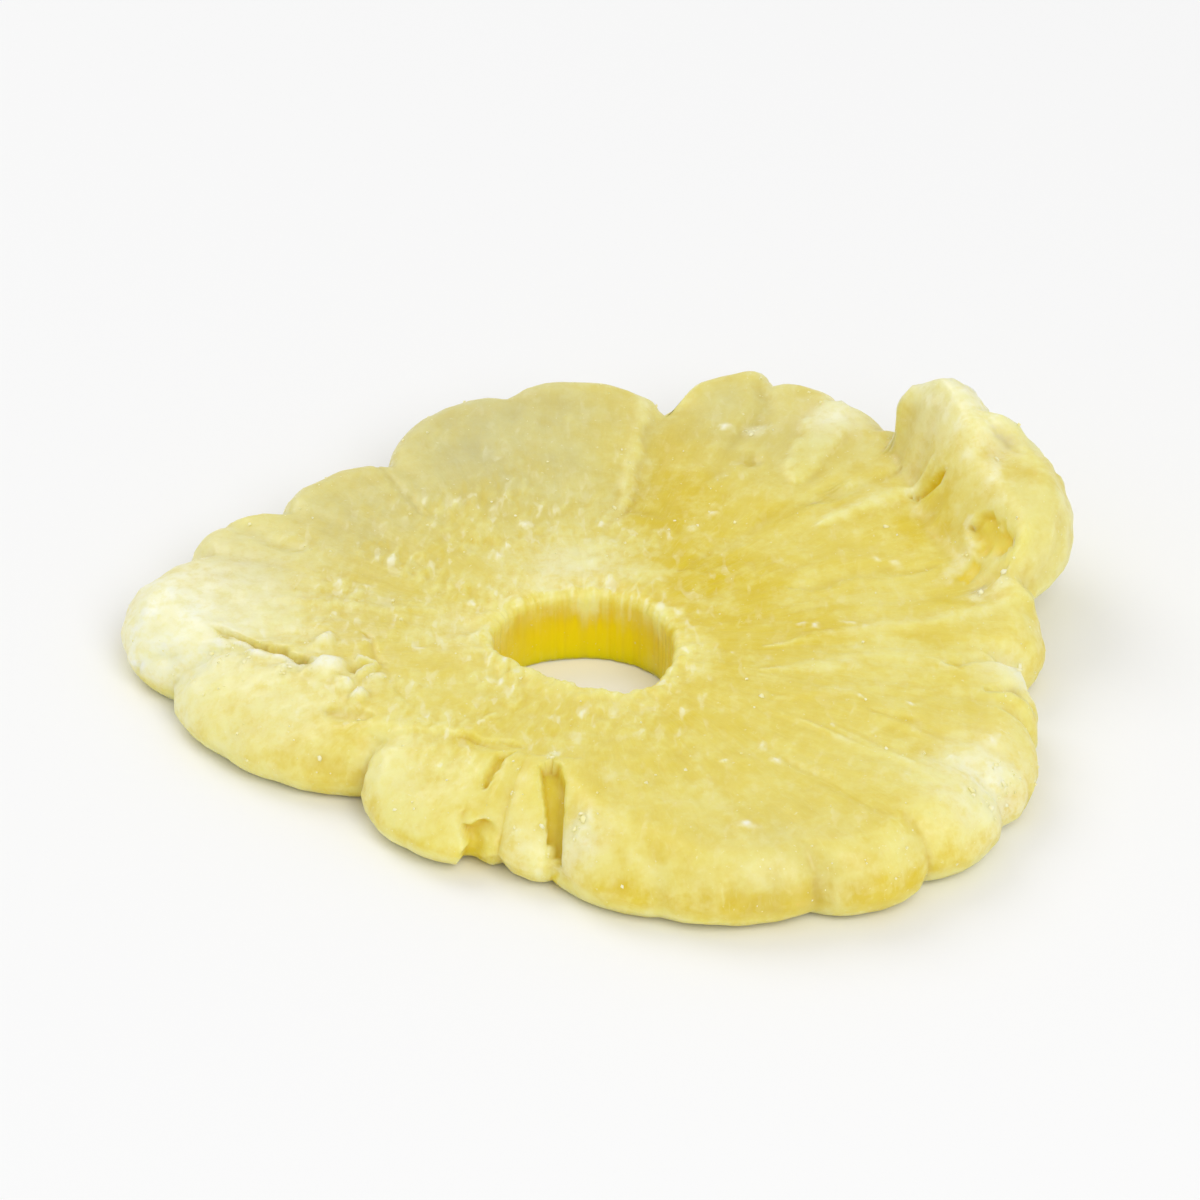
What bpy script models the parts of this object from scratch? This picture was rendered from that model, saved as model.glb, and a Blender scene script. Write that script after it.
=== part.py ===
"""One candied pineapple ring: a slice of fruit with a cored hole, lying flat.

Frame: metres, +Z up, origin at the middle of the bounding box on the table. The sloping side faces -Y.
The ring starts as a torus, and each of its vertices is moved to its place on the section at its angle. The
section changes all the way round: the fruitlets differ in reach and in how far their shoulders slope, the
hole is out of round, the back edge lifts off the table, and its right end (+X +Y) curls up into a flap.
"""

import math

import bpy

MM = 0.001

# Driving sizes.
THICKNESS = 7.0 * MM
HOLE_RIM = 0.9 * MM  # rounding where the hole meets either face
BELT_SHARE = 0.36  # height of the rim's widest line, as a share of the thickness there
UNDERCUT = 2.2 * MM  # how far the rim runs in below that line

# Fruitlets, counterclockwise: (angle in degrees where one starts, reach of the notch there, bulge), in mm.
FRUITLETS = (
    (-1, 37.2, 2.0),
    (13, 39.8, 4.6),
    (36, 46.0, 1.6),
    (51.5, 44.8, 0.6),
    (59, 46.1, 1.2),
    (67, 45.9, 3.8),
    (79, 39.2, 3.0),
    (101, 41.2, 2.5),
    (122, 35.2, 1.7),
    (141, 36.6, 2.2),
    (156, 39.0, 4.2),
    (180, 36.3, 0.9),
    (196, 33.0, 0.9),
    (218, 24.0, 2.8),
    (254, 26.2, 1.0),
    (264, 27.9, 0.8),
    (281, 33.8, 1.0),
    (301, 37.6, 2.0),
    (316, 39.8, 1.6),
    (330, 40.8, 1.3),
    (346, 39.6, 1.3),
)
LOBE_POWER = 2.6  # 2 gives a round lobe, more gives a squarer one

# Radius of the cored hole by angle in degrees, in mm. It has dried out of round.
HOLE = (
    (0, 7.7),
    (50, 7.9),
    (95, 7.9),
    (140, 8.6),
    (165, 8.5),
    (182, 8.0),
    (205, 6.3),
    (225, 5.6),
    (250, 5.6),
    (272, 6.4),
    (300, 8.0),
    (315, 8.3),
    (340, 7.8),
)

# How far the shoulder slopes in from the rim, by angle in degrees, in mm.
SHOULDERS = (
    (0, 3.2),
    (24, 3.2),
    (43, 4.4),
    (56, 3.2),
    (150, 3.2),
    (166, 4.6),
    (180, 9.0),
    (203, 9.5),
    (218, 4.5),
    (238, 10.5),
    (255, 8.5),
    (264, 9.5),
    (278, 6.0),
    (292, 3.2),
    (312, 3.6),
    (330, 5.2),
    (350, 3.6),
)
SHOULDER_POWER = 2.2
SLOPE_POWER = 1.5  # a wide shoulder is more of a slope than a rounding
WIDE_SHOULDER = 9.0 * MM

# The curled flap, counterclockwise: (angle in degrees, extra height, radii of its foot and top), in mm.
FLAP = (
    (0, 0.0, 35.0, 41.5),
    (8, 0.0, 35.0, 41.5),
    (15, 5.0, 35.0, 41.0),
    (24, 6.0, 35.0, 41.0),
    (30, 6.0, 35.0, 41.0),
    (34, 8.0, 36.0, 42.0),
    (42, 8.6, 38.5, 43.5),
    (46.6, 6.6, 40.2, 43.5),
    (49.0, 0.0, 42.0, 44.5),
)
FLAP_UNDERSIDE_SHARE = 0.75

# The torn pit at the flap's foot.
PIT_ANGLE = math.radians(20)
PIT_HALF_WIDTH = math.radians(9)
PIT_RADIUS = 36.0 * MM
PIT_REACH = 3.6 * MM
PIT_DEPTH = 2.2 * MM

# The back edge lifts off the table.
BACK_LIFT = 2.2 * MM
BACK_LIFT_START = 14.0 * MM
BACK_LIFT_END = 45.0 * MM

# Furrows between the fruitlets, on the top face.
FURROW_DEPTH = 0.35 * MM
FURROW_HALF_WIDTH = 1.6 * MM
FURROW_START = 24.0 * MM
FURROW_FULL = 34.0 * MM

# Mesh.
STEPS_AROUND = 144
HOLE_WALL_STEPS = 3
HOLE_RIM_STEPS = 2
FACE_STEPS = 14
FACE_CROWDING = 2.0  # over 1 sets the steps of the top face closer together near the rim
UNDERSIDE_STEPS = 6
SHOULDER_STEPS = 5
UNDERCUT_STEPS = 3
FLESH_COLOUR = (0.78, 0.66, 0.24, 1.0)
FLESH_ROUGHNESS = 0.45


def smooth_step(low, high, value):
    share = min(max((value - low) / (high - low), 0.0), 1.0)
    return share * share * (3 - 2 * share)


def bump(distance, half_width):
    """1 at no distance, falling smoothly to 0 at half_width."""
    return 1 - smooth_step(0, half_width, abs(distance))


def steps(count):
    """Shares from 0, up to but not reaching 1."""
    return [step / count for step in range(count)]


def quarter(count):
    """Angles from 0, up to but not reaching a right angle."""
    return [math.pi / 2 * share for share in steps(count)]


def turn_between(a, b):
    """Signed angle from b to a, in -pi to pi."""
    return math.remainder(a - b, math.tau)


def around(table, angle):
    """Value at an angle of a table of (degrees, value), smooth from row to row all the way round."""
    degrees = math.degrees(angle) % 360
    rows = [*table, (table[0][0] + 360, table[0][1])]
    for (start, here), (end, there) in zip(rows, rows[1:]):
        if start <= degrees <= end:
            return here + (there - here) * smooth_step(start, end, degrees)
    raise ValueError(f"no row holds {degrees}")


def reach_at(angle):
    """Distance from the hole's middle to the rim: a rounded lobe for each fruitlet, notched between two."""
    first = FRUITLETS[0][0]
    degrees = first + (math.degrees(angle) - first) % 360
    rows = [*FRUITLETS, (first + 360, FRUITLETS[0][1], 0.0)]
    for (start, notch, bulge), (end, next_notch, _) in zip(rows, rows[1:]):
        if start <= degrees <= end:
            along = (degrees - start) / (end - start)
            lobe = bulge * (1 - abs(2 * along - 1) ** LOBE_POWER)
            return (notch + (next_notch - notch) * along + lobe) * MM
    raise ValueError(f"no fruitlet holds {degrees}")


def hole_at(angle):
    return around(HOLE, angle) * MM


def flap_lift(radius, angle):
    """How much higher the curled flap stands than the flat of the ring."""
    columns = [[(row[0], row[column]) for row in FLAP] for column in (1, 2, 3)]
    lift, foot, top = (around(column, angle) * MM for column in columns)
    return lift * smooth_step(foot, top, radius)


def back_lift(radius, angle):
    return BACK_LIFT * smooth_step(BACK_LIFT_START, BACK_LIFT_END, radius * math.sin(angle))


def furrow(radius, angle):
    """Depth of the furrow that runs in from the nearest notch."""
    apart = min(abs(turn_between(angle, math.radians(row[0]))) for row in FRUITLETS)
    share = smooth_step(FURROW_START, FURROW_FULL, radius)
    return FURROW_DEPTH * share * bump(apart * radius, FURROW_HALF_WIDTH)


def pit(radius, angle):
    """Depth of the torn pit at the flap's foot."""
    across = bump(turn_between(angle, PIT_ANGLE), PIT_HALF_WIDTH)
    return PIT_DEPTH * across * bump(radius - PIT_RADIUS, PIT_REACH)


def top_at(radius, angle):
    lifted = THICKNESS + back_lift(radius, angle) + flap_lift(radius, angle)
    return lifted - furrow(radius, angle) - pit(radius, angle)


def bottom_at(radius, angle):
    return back_lift(radius, angle) + FLAP_UNDERSIDE_SHARE * flap_lift(radius, angle)


def section_at(angle):
    """Closed section at an angle, as (radius, height): up the shoulder, inward, down the hole, outward."""
    hole, rim = hole_at(angle), reach_at(angle)
    shoulder = around(SHOULDERS, angle) * MM
    power = SHOULDER_POWER + (SLOPE_POWER - SHOULDER_POWER) * min(shoulder / WIDE_SHOULDER, 1.0)
    face_end, rim_end = hole + HOLE_RIM, rim - UNDERCUT
    belt = bottom_at(rim, angle) + BELT_SHARE * (top_at(rim, angle) - bottom_at(rim, angle))
    section = []
    for turn in quarter(SHOULDER_STEPS):
        radius = rim - shoulder + shoulder * math.cos(turn) ** (2 / power)
        section.append((radius, belt + (top_at(radius, angle) - belt) * math.sin(turn) ** (2 / power)))
    for share in steps(FACE_STEPS):
        radius = rim - shoulder + (face_end - rim + shoulder) * share**FACE_CROWDING
        section.append((radius, top_at(radius, angle)))
    for turn in quarter(HOLE_RIM_STEPS):
        section.append((face_end - HOLE_RIM * math.sin(turn), THICKNESS - HOLE_RIM * (1 - math.cos(turn))))
    for share in steps(HOLE_WALL_STEPS):
        section.append((hole, THICKNESS - HOLE_RIM - (THICKNESS - 2 * HOLE_RIM) * share))
    for turn in quarter(HOLE_RIM_STEPS):
        section.append((face_end - HOLE_RIM * math.cos(turn), HOLE_RIM * (1 - math.sin(turn))))
    for share in steps(UNDERSIDE_STEPS):
        radius = face_end + (rim_end - face_end) * share
        section.append((radius, bottom_at(radius, angle)))
    for turn in quarter(UNDERCUT_STEPS):
        radius = rim_end + UNDERCUT * math.sin(turn)
        bottom = bottom_at(radius, angle)
        section.append((radius, bottom + (belt - bottom) * (1 - math.cos(turn))))
    return section


def make_ring():
    """A torus whose minor circles are moved onto the sections. Both start at the outside and run up."""
    steps_in_section = len(section_at(0.0))
    bpy.ops.mesh.primitive_torus_add(major_segments=STEPS_AROUND, minor_segments=steps_in_section)
    ring = bpy.context.object
    ring.name = "ring"
    places = [
        (radius * math.cos(angle), radius * math.sin(angle), height)
        for angle in (math.tau * share for share in steps(STEPS_AROUND))
        for radius, height in section_at(angle)
    ]
    middle = [(min(axis) + max(axis)) / 2 for axis in list(zip(*places))[:2]]
    for vertex, (x, y, z) in zip(ring.data.vertices, places):
        vertex.co = (x - middle[0], y - middle[1], z)
    return ring


def make_flesh():
    flesh = bpy.data.materials.new("flesh")
    flesh.use_nodes = True
    shader = flesh.node_tree.nodes["Principled BSDF"]
    shader.inputs["Base Color"].default_value = FLESH_COLOUR
    shader.inputs["Roughness"].default_value = FLESH_ROUGHNESS
    shader.inputs["Metallic"].default_value = 0.0
    return flesh


def main():
    for old in list(bpy.data.objects):
        bpy.data.objects.remove(old)
    collection = bpy.data.collections.new("pineapple_ring")
    bpy.context.scene.collection.children.link(collection)
    ring = make_ring()
    for owner in list(ring.users_collection):
        owner.objects.unlink(ring)
    collection.objects.link(ring)
    ring.data.materials.append(make_flesh())
    ring.data.shade_smooth()


main()
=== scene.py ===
"""The looks of one candied pineapple ring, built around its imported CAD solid.

The flesh is one closed mesh of sections around the hole. It takes the CAD's form (the same named values as
part.py) and adds relief: furrows, folds, tears, slots, a pit, fibres and sugared lumps. Masks on its vertices
drive a procedural material. Sugar crystals and crumbs are meshes of their own, set on the flesh.

Lengths are in millimetres from the hole's middle, +Z up from the table. Lamps and camera are in metres.
"""
import itertools
import math

import bmesh
import bpy
import numpy as np
from mathutils import Matrix, Vector


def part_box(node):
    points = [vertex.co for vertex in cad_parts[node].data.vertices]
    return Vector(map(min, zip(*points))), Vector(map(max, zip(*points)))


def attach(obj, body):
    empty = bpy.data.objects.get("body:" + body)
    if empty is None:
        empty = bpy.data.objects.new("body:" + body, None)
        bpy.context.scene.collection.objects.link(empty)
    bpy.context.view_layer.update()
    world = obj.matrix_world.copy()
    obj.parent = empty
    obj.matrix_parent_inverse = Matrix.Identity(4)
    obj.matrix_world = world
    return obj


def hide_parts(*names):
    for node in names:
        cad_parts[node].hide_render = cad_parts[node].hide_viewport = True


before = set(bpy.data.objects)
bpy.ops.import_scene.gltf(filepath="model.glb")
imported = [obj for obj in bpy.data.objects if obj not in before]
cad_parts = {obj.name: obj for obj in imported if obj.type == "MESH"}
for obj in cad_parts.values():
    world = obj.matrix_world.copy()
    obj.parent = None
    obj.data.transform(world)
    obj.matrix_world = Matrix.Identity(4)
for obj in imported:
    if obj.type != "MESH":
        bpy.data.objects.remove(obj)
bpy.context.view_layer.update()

MM = 0.001

# ---- the CAD's form

THICKNESS = 7.0
HOLE_RIM = 0.9
HOLE_FOOT_RIM = 0.35  # the lower edge of the hole is sharper than the CAD's
BELT_SHARE = 0.36
UNDERCUT = 2.2
CAD_STEPS_AROUND = 144

# Fruitlets, counterclockwise: (angle in degrees where one starts, reach of the notch there, bulge).
FRUITLETS = (
    (-1, 37.2, 2.0), (13, 39.8, 4.6), (36, 46.0, 1.6), (51.5, 44.8, 0.6),
    (59, 46.1, 1.2), (67, 45.9, 3.8), (79, 39.2, 3.0), (101, 41.2, 2.5),
    (122, 35.2, 1.7), (141, 36.6, 2.2), (156, 39.0, 4.2), (180, 36.3, 0.9),
    (196, 33.0, 0.9), (218, 24.0, 2.8), (254, 26.2, 1.0), (264, 27.9, 0.8),
    (281, 33.8, 1.0), (301, 37.6, 2.0), (316, 39.8, 1.6), (330, 40.8, 1.3),
    (346, 39.6, 1.3),
)
LOBE_POWER = 2.6

# Radius of the cored hole, by angle in degrees.
HOLE = (
    (0, 7.7), (50, 7.9), (95, 7.9), (140, 8.6), (165, 8.5),
    (182, 8.0), (205, 6.3), (225, 5.6), (250, 5.6), (272, 6.4),
    (300, 8.0), (315, 8.3), (340, 7.8),
)

# How far the shoulder slopes in from the rim, by angle in degrees.
SHOULDERS = (
    (0, 3.2), (24, 3.2), (43, 4.4), (56, 3.2), (150, 3.2), (166, 4.6),
    (180, 9.0), (203, 9.5), (218, 4.5), (238, 10.5), (255, 8.5), (264, 9.5),
    (278, 6.0), (292, 3.2), (312, 3.6), (330, 5.2), (350, 3.6),
)
SHOULDER_POWER = 2.2
SLOPE_POWER = 1.5
WIDE_SHOULDER = 9.0

# The curled flap, counterclockwise: (angle in degrees, extra height, radii of its foot and top).
FLAP = (
    (0, 0.0, 35.0, 41.5), (8, 0.0, 35.0, 41.5), (15, 5.0, 35.0, 41.0),
    (24, 6.0, 35.0, 41.0), (30, 6.0, 35.0, 41.0), (34, 8.0, 36.0, 42.0),
    (42, 8.6, 38.5, 43.5), (46.6, 6.6, 40.2, 43.5), (49.0, 0.0, 42.0, 44.5),
)
FLAP_UNDERSIDE_SHARE = 0.75

BACK_LIFT, BACK_LIFT_START, BACK_LIFT_END = 2.2, 14.0, 45.0


def smooth_step(low, high, value):
    share = np.clip((value - low) / (high - low), 0.0, 1.0)
    return share * share * (3 - 2 * share)


def bump(distance, half_width):
    """1 at no distance, falling smoothly to 0 at half_width."""
    return 1 - smooth_step(0.0, half_width, np.abs(distance))


def turn_between(a, b):
    """Signed angle from b to a, in -pi to pi."""
    return (a - b + np.pi) % (2 * np.pi) - np.pi


def around(table, angle):
    """Value at each angle of a table of (degrees, value), smooth from row to row all the way round."""
    starts, values = np.array(table, float).T
    ends = np.append(starts[1:], starts[0] + 360)
    degrees = np.degrees(angle) % 360
    row = np.searchsorted(starts, degrees, side="right") - 1
    share = smooth_step(0.0, 1.0, (degrees - starts[row]) / (ends - starts)[row])
    return values[row] + (np.roll(values, -1)[row] - values[row]) * share


def reach_at(angle):
    """Distance from the hole's middle to the rim: a rounded lobe for each fruitlet, notched between two."""
    starts, notches, bulges = np.array(FRUITLETS, float).T
    ends = np.append(starts[1:], starts[0] + 360)
    degrees = (np.degrees(angle) - starts[0]) % 360 + starts[0]
    row = np.searchsorted(starts, degrees, side="right") - 1
    along = (degrees - starts[row]) / (ends - starts)[row]
    lobe = bulges[row] * (1 - np.abs(2 * along - 1) ** LOBE_POWER)
    return notches[row] + (np.roll(notches, -1)[row] - notches[row]) * along + lobe


def hole_at(angle):
    return around(HOLE, angle)


def flap_lift(radius, angle):
    """How much higher the curled flap stands than the flat of the ring."""
    columns = [[(row[0], row[column]) for row in FLAP] for column in (1, 2, 3)]
    lift, foot, top = (around(column, angle) for column in columns)
    return lift * smooth_step(foot, top, radius)


def back_lift(radius, angle):
    return BACK_LIFT * smooth_step(BACK_LIFT_START, BACK_LIFT_END, radius * np.sin(angle))


def top_at(radius, angle):
    return THICKNESS + back_lift(radius, angle) + flap_lift(radius, angle)


def bottom_at(radius, angle):
    return back_lift(radius, angle) + FLAP_UNDERSIDE_SHARE * flap_lift(radius, angle)


# Stages of the closed section, in its order: each runs from its number to the next.
SHOULDER, FACE, HOLE_EDGE, HOLE_WALL, HOLE_FOOT, UNDERSIDE, UNDERCUT_STAGE = range(7)
STAGE_STEPS = (60, 120, 12, 24, 12, 90, 20)


def section_lines(angle):
    """Fine closed sections: radii and heights with a row for each angle, and the stage of each column."""
    angle = angle[:, None]
    hole, rim = hole_at(angle), reach_at(angle)
    shoulder = around(SHOULDERS, angle)
    power = SHOULDER_POWER + (SLOPE_POWER - SHOULDER_POWER) * np.minimum(shoulder / WIDE_SHOULDER, 1.0)
    face_end, rim_end = hole + HOLE_RIM, rim - UNDERCUT
    belt = bottom_at(rim, angle) + BELT_SHARE * (top_at(rim, angle) - bottom_at(rim, angle))
    shares = [np.arange(count)[None, :] / count for count in STAGE_STEPS]
    turns = [np.pi / 2 * share for share in shares]

    radii, heights = [], []
    radii.append(rim - shoulder + shoulder * np.cos(turns[SHOULDER]) ** (2 / power))
    heights.append(belt + (top_at(radii[-1], angle) - belt) * np.sin(turns[SHOULDER]) ** (2 / power))
    radii.append(rim - shoulder + (face_end - rim + shoulder) * shares[FACE])
    heights.append(top_at(radii[-1], angle))
    radii.append(face_end - HOLE_RIM * np.sin(turns[HOLE_EDGE]))
    heights.append(THICKNESS - HOLE_RIM * (1 - np.cos(turns[HOLE_EDGE])) + 0 * angle)
    radii.append(hole + 0 * shares[HOLE_WALL])
    wall_height = THICKNESS - HOLE_RIM - HOLE_FOOT_RIM
    heights.append(THICKNESS - HOLE_RIM - wall_height * shares[HOLE_WALL] + 0 * angle)
    radii.append(hole + HOLE_FOOT_RIM * (1 - np.cos(turns[HOLE_FOOT])))
    heights.append(HOLE_FOOT_RIM * (1 - np.sin(turns[HOLE_FOOT])) + 0 * angle)
    foot = hole + HOLE_FOOT_RIM
    radii.append(foot + (rim_end - foot) * shares[UNDERSIDE])
    heights.append(bottom_at(radii[-1], angle))
    radii.append(rim_end + UNDERCUT * np.sin(turns[UNDERCUT_STAGE]))
    low = bottom_at(radii[-1], angle)
    heights.append(low + (belt - low) * (1 - np.cos(turns[UNDERCUT_STAGE])))
    stages = np.concatenate([stage + share[0] for stage, share in enumerate(shares)])
    return np.hstack(radii), np.hstack(heights), stages


def cad_middle():
    """Middle of the CAD solid's box as seen from the hole's middle. part.py puts its origin there."""
    angle = np.arange(CAD_STEPS_AROUND) / CAD_STEPS_AROUND * 2 * np.pi
    radius = reach_at(angle)
    x, y = radius * np.cos(angle), radius * np.sin(angle)
    return np.array([(x.min() + x.max()) / 2, (y.min() + y.max()) / 2, 0.0])


# ---- noise

# Whole numbers that mix a cell's place and a seed into a random number.
CELL_PRIMES, SEED_PRIME = (73856093, 19349663, 83492791), 49979687
MIX_FACTOR, MIX_STEP, MIX_MASK = 1103515245, 12345, 0x7FFFFFFF


def random_vectors(cell, seed):
    """A fixed random direction for each lattice cell."""
    mixed = seed * SEED_PRIME
    for axis, prime in enumerate(CELL_PRIMES):
        mixed = mixed ^ cell[..., axis] * prime
    parts = []
    for _ in range(3):
        mixed = (mixed * MIX_FACTOR + MIX_STEP) & MIX_MASK
        mixed ^= mixed >> 15
        parts.append((mixed & 0xFFFF) / 32767.5 - 1)
    vectors = np.stack(parts, -1)
    return vectors / (np.linalg.norm(vectors, axis=-1, keepdims=True) + 1e-6)


def noise(points, size, seed):
    """Smooth gradient noise, about -1 to 1, with features of a given size."""
    cell, within = np.divmod(points / size, 1.0)
    cell = cell.astype(np.int64)
    ease = within**3 * (within * (within * 6 - 15) + 10)
    total = np.zeros(points.shape[:-1])
    for corner in itertools.product((0, 1), repeat=3):
        weight = np.prod(np.where(corner, ease, 1 - ease), axis=-1)
        total += weight * np.sum(random_vectors(cell + np.array(corner), seed) * (within - corner), axis=-1)
    return 1.5 * total


def rough_noise(points, size, seed, octaves=3):
    return sum(noise(points, size / 2**octave, seed + octave) / 2**octave for octave in range(octaves))


# ---- relief, seen from above

# Each path is a few points (x, y) from the hole's middle.
# Openings in the flesh, as (path, half width, depth). A slot has a flat top at its path's first point.
SLOT = (((-3.1, -18.4), (-2.7, -22.0), (-2.5, -28.2)), 1.2, 1.3)
CLEFT = (((32.0, 21.9), (30.7, 22.5), (28.9, 23.3)), 0.6, 0.7)
SMALL_SLOT = (((-5.9, -16.9), (-7.4, -17.9), (-8.1, -19.4), (-8.2, -20.9)), 0.75, 0.7)
PIT_PARTS = (
    (((34.4, 16.0), (35.6, 13.4), (37.4, 10.6)), 1.25, 0.75),
    (((34.2, 12.2), (33.4, 11.0), (33.8, 9.8)), 0.9, 0.2),
)
PIT_LIP = ((34.0, 17.0), (33.9, 14.6), (34.0, 13.2), (32.8, 12.8), (32.0, 11.0), (32.0, 9.4))

# A ledge drops on the right of its path: (path, drop, how far it lasts, height of its lip).
TEAR = ((-33.4, 3.0), (-31.4, 2.1), (-29.4, 1.1), (-27.5, -0.7), (-25.3, -1.6), (-23.2, -4.4))
LEDGES = (
    (((3.4, 20.6), (4.4, 26.0), (4.9, 31.0), (6.0, 38.6)), 0.35, 7.0, 0.15),
    (((-19.4, -12.6), (-16.6, -13.4), (-12.0, -13.6), (-8.6, -14.9), (-5.4, -16.0)), 0.3, 2.4, 0.05),
)

# Grooves and folds, as (path, half width, depth or height).
GROOVES = (
    (((31.2, -3.4), (33.0, -2.1), (35.0, -1.8), (38.4, -1.2)), 0.8, 0.45),
    (((34.6, -6.6), (36.6, -6.4), (39.8, -6.2)), 0.8, 0.8),
    (((-19.4, 29.6), (-18.2, 26.8), (-16.4, 23.4), (-14.5, 19.8)), 0.6, 0.2),
    (((-25.0, 15.0), (-29.6, 18.2), (-33.0, 20.6)), 1.8, 0.3),
    (((-39.6, 3.0), (-37.8, 2.2), (-35.6, 1.2)), 0.7, 0.4),
    (((20.5, 22.5), (24.6, 24.6), (28.4, 27.2)), 1.4, 0.3),
    (((8.0, 12.0), (16.0, 19.6), (23.0, 25.0)), 1.8, 0.22),
    (((24.0, -10.4), (31.0, -14.6), (38.6, -17.0)), 1.2, 0.2),
    (((18.0, 8.6), (26.0, 11.8), (31.4, 12.4)), 1.6, 0.3),
    (((16.8, -17.0), (21.0, -22.6), (26.4, -27.0)), 1.0, 0.14),
    (((35.4, 24.6), (37.2, 23.2), (39.6, 21.8)), 0.8, 0.3),
    (((-22.6, -9.2), (-20.8, -10.8), (-18.6, -11.4)), 1.5, 0.5),
    (((-11.2, -13.9), (-9.9, -14.5), (-8.6, -15.4)), 0.55, 0.3),
    (((-7.6, -15.1), (-6.5, -15.5), (-5.3, -16.2)), 0.5, 0.35),
    (((-19.4, 1.8), (-18.3, -1.4), (-17.6, -3.4)), 0.6, 0.3),
)
FOLDS = (
    (((15.6, -0.6), (22.6, 1.7), (27.8, 2.3), (34.8, 5.3), (40.0, 8.2)), 1.9, 0.2),
    (((15.0, -4.6), (21.4, -3.9), (23.7, -2.7), (27.8, -2.1), (29.8, -2.4), (32.6, -4.4)), 1.8, 0.17),
    (((16.0, -9.0), (24.6, -7.4), (33.0, -7.2)), 1.6, 0.1),
    (((18.4, -12.4), (24.0, -16.6), (30.0, -19.8)), 0.8, 0.14),
    (((21.0, -13.0), (26.0, -17.0), (31.0, -23.0)), 0.8, 0.12),
    (((20.6, 18.4), (24.5, 21.6), (27.8, 23.6), (31.4, 24.2)), 1.9, 0.32),
    (((8.0, -15.4), (11.0, -23.4), (14.0, -31.0)), 1.2, 0.1),
    (((-13.0, 5.0), (-20.0, 5.4), (-28.0, 7.0)), 1.6, 0.12),
)
# The pale flake of flesh on the back lobe.
FLAKE = (((23.4, 38.0), (21.6, 33.0), (19.6, 28.6), (18.8, 25.6)), 2.6, 0.35)
# A round dent: (x, y, radius), and its depth.
DENT, DENT_DEPTH = (14.6, 29.2, 2.1), 0.6
# The crack's right end: a torn chunk (x, y, radius, height), with a round hollow and a deep hole beside it.
CHUNK = ((-22.6, -4.6, 2.3, 1.5), (-23.0, -0.4, 1.5, 0.9), (-19.7, -8.4, 1.2, 1.0), (-21.0, -6.6, 1.1, 0.7))
# The hollow and the deep hole are painted dark, as painted shade.
HOLLOW_MIDDLE, HOLLOW_RADIUS, HOLLOW_DEPTH = (-19.8, -4.2), 1.1, 1.0
CRACK_END, CRACK_END_DEPTH = (-24.6, -2.9, 0.9), 0.6
# Small bright lumps, painted white both as sugar and as painted highlights: (x, y, radius).
GLINTS = (
    (15.0, -15.7, 0.7), (16.4, -17.9, 0.8), (31.7, -21.3, 0.7), (35.1, -14.8, 0.9), (13.6, -27.4, 0.9),
    (19.0, 3.1, 0.5), (20.4, 2.6, 0.4), (22.9, 2.9, 0.6), (24.4, 2.3, 0.4), (25.7, 13.4, 0.5),
    (27.4, 12.9, 0.7), (-19.4, 9.7, 0.5), (-5.4, 18.9, 0.6), (4.6, 8.6, 0.6), (9.7, 18.9, 0.6),
    (11.2, 20.6, 0.6), (-14.5, -0.7, 0.6), (-7.6, 13.7, 0.6), (21.0, -13.2, 0.4), (28.6, -9.8, 0.5),
    (12.6, 33.6, 0.6),
)

# Crusted lumps: (x, y, radius, height).
CRUSTS = (
    (-18.1, -5.6, 0.9, 0.3), (-31.6, -0.4, 1.5, 0.45), (-29.4, -2.0, 1.4, 0.35), (-26.2, -4.4, 1.3, 0.35),
    (38.0, -3.6, 1.5, 0.6), (35.4, -18.4, 2.2, 0.5), (33.4, -22.4, 1.8, 0.4), (31.2, -17.8, 0.8, 0.4),
    (-0.4, -26.6, 1.8, 0.45), (-4.4, -28.2, 0.9, 0.5), (-5.7, -25.4, 0.7, 0.4), (-3.0, -17.4, 1.0, 0.4),
    (36.6, 8.2, 1.2, 0.25), (34.4, 7.7, 1.3, 0.25), (15.2, 33.6, 1.5, 0.25), (11.6, -17.9, 0.6, 0.3),
    (23.4, -8.6, 0.5, 0.3),
)
# Brown ends of two grooves: (x, y, radius).
BROWN_RIM, BROWN_CREST = (37.6, -6.4, 1.3), (37.4, 23.1, 1.4)
# Where the second lobe is torn away from the small one: the gap's sides (x), its top (z) and depth.
RECESS_LEFT, RECESS_RIGHT = -10.3, -7.9
RECESS_TOP, RECESS_DEPTH = 4.6, 1.5


def path_distance(x, y, path):
    """Distance to a path, share of its length there, and how far the point is to the right of it."""
    path = np.array(path, float)
    lengths = np.hypot(*np.diff(path, axis=0).T)
    before = np.concatenate([[0.0], np.cumsum(lengths)])
    best = np.full(x.shape, np.inf)
    share = np.zeros(x.shape)
    past = np.zeros(x.shape)
    for (ax, ay), (bx, by), length, start in zip(path, path[1:], lengths, before):
        dx, dy = (bx - ax) / length, (by - ay) / length
        along = np.clip((x - ax) * dx + (y - ay) * dy, 0.0, length)
        away = np.hypot(x - ax - along * dx, y - ay - along * dy)
        right = np.sign((x - ax) * dy - (y - ay) * dx)
        nearer = away < best
        best = np.where(nearer, away, best)
        share = np.where(nearer, (start + along) / before[-1], share)
        past = np.where(nearer, right * away, past)
    return best, share, past


def stroke(x, y, path, half_width, flat=0.0, blunt=0.5):
    """1 along a path, 0 from half_width away, narrowing to its ends. flat is the share of level middle."""
    away, share, _ = path_distance(x, y, path)
    width = half_width * np.sin(np.pi * np.clip(share, 0.0, 1.0)) ** blunt + 1e-3
    return 1 - smooth_step(flat * width, width, away)


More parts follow.
